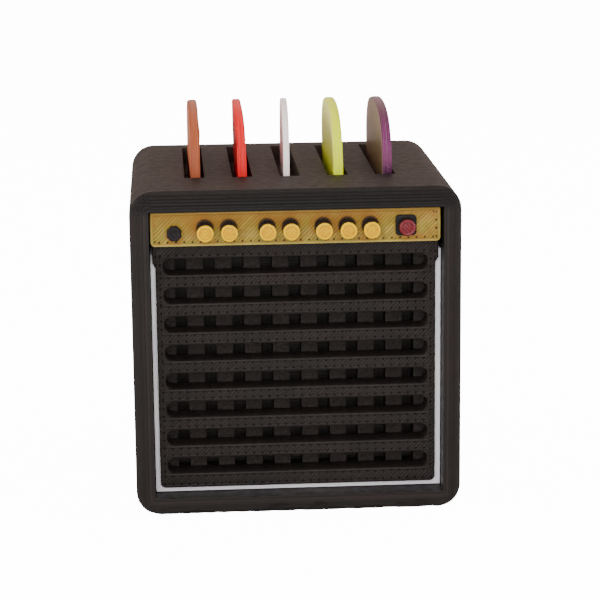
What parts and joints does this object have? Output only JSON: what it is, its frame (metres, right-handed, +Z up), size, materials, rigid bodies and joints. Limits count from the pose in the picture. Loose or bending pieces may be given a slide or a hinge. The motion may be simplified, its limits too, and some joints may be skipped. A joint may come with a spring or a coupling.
{
  "type": "guitar pick holder",
  "caption": "Desktop guitar-pick holder shaped as a miniature combo amplifier, with picks standing on edge in slots in its top, a barred grille and a strip of knobs.",
  "frame": {"origin": "bottom centre of the whole object's bounding box, on the surface it stands on", "axes": "+X to the right seen from the front, +Y from the control panel towards the back, +Z up along the picks"},
  "size_m": [0.045, 0.0464, 0.0542],
  "materials": {
    "black_plastic": "black printed plastic with fine layer lines, satin",
    "white_plastic": "white printed plastic with fine layer lines, satin",
    "gold_plastic": "silky gold printed plastic with diagonal print lines",
    "bright_gold_plastic": "silky bright gold printed plastic",
    "lamp_red": "dark red printed plastic, glossy",
    "copper_plastic": "copper-brown plastic, satin",
    "red_plastic": "bright red plastic, satin",
    "pearl_plastic": "pearl-white plastic, satin",
    "lime_plastic": "yellow-green plastic, satin",
    "purple_plastic": "glittering purple plastic that turns brown-grey at a slant"
  },
  "bodies": {
    "amplifier": {"cabinet": "black_plastic", "piping_trim": "white_plastic", "speaker_grille": "black_plastic", "control_panel": "gold_plastic", "knob_body_1": "black_plastic", "knob_body_2": "black_plastic", "knob_body_3": "black_plastic", "knob_body_4": "black_plastic", "knob_body_5": "black_plastic", "knob_body_6": "black_plastic", "knob_body_7": "black_plastic", "knob_cap_1": "bright_gold_plastic", "knob_cap_2": "bright_gold_plastic", "knob_cap_3": "bright_gold_plastic", "knob_cap_4": "bright_gold_plastic", "knob_cap_5": "bright_gold_plastic", "knob_cap_6": "bright_gold_plastic", "knob_cap_7": "bright_gold_plastic", "input_jack": "black_plastic", "pilot_lamp_base": "black_plastic", "pilot_lamp_lens": "lamp_red"},
    "copper_pick": {"pick_copper": "copper_plastic"},
    "red_pick": {"pick_red": "red_plastic"},
    "white_pick": {"pick_white": "pearl_plastic"},
    "lime_pick": {"pick_lime": "lime_plastic"},
    "purple_pick": {"pick_purple": "purple_plastic"}
  },
  "joints": [
    {"name": "copper_pick_lift", "type": "slide", "parent": "amplifier", "child": "copper_pick", "axis": [0, 0, 1], "range_m": [0, 0.035]},
    {"name": "red_pick_lift", "type": "slide", "parent": "amplifier", "child": "red_pick", "axis": [0, 0, 1], "range_m": [0, 0.035]},
    {"name": "white_pick_lift", "type": "slide", "parent": "amplifier", "child": "white_pick", "axis": [0, 0, 1], "range_m": [0, 0.035]},
    {"name": "lime_pick_lift", "type": "slide", "parent": "amplifier", "child": "lime_pick", "axis": [0, 0, 1], "range_m": [0, 0.035]},
    {"name": "purple_pick_lift", "type": "slide", "parent": "amplifier", "child": "purple_pick", "axis": [0, 0, 1], "range_m": [0, 0.035]}
  ]
}
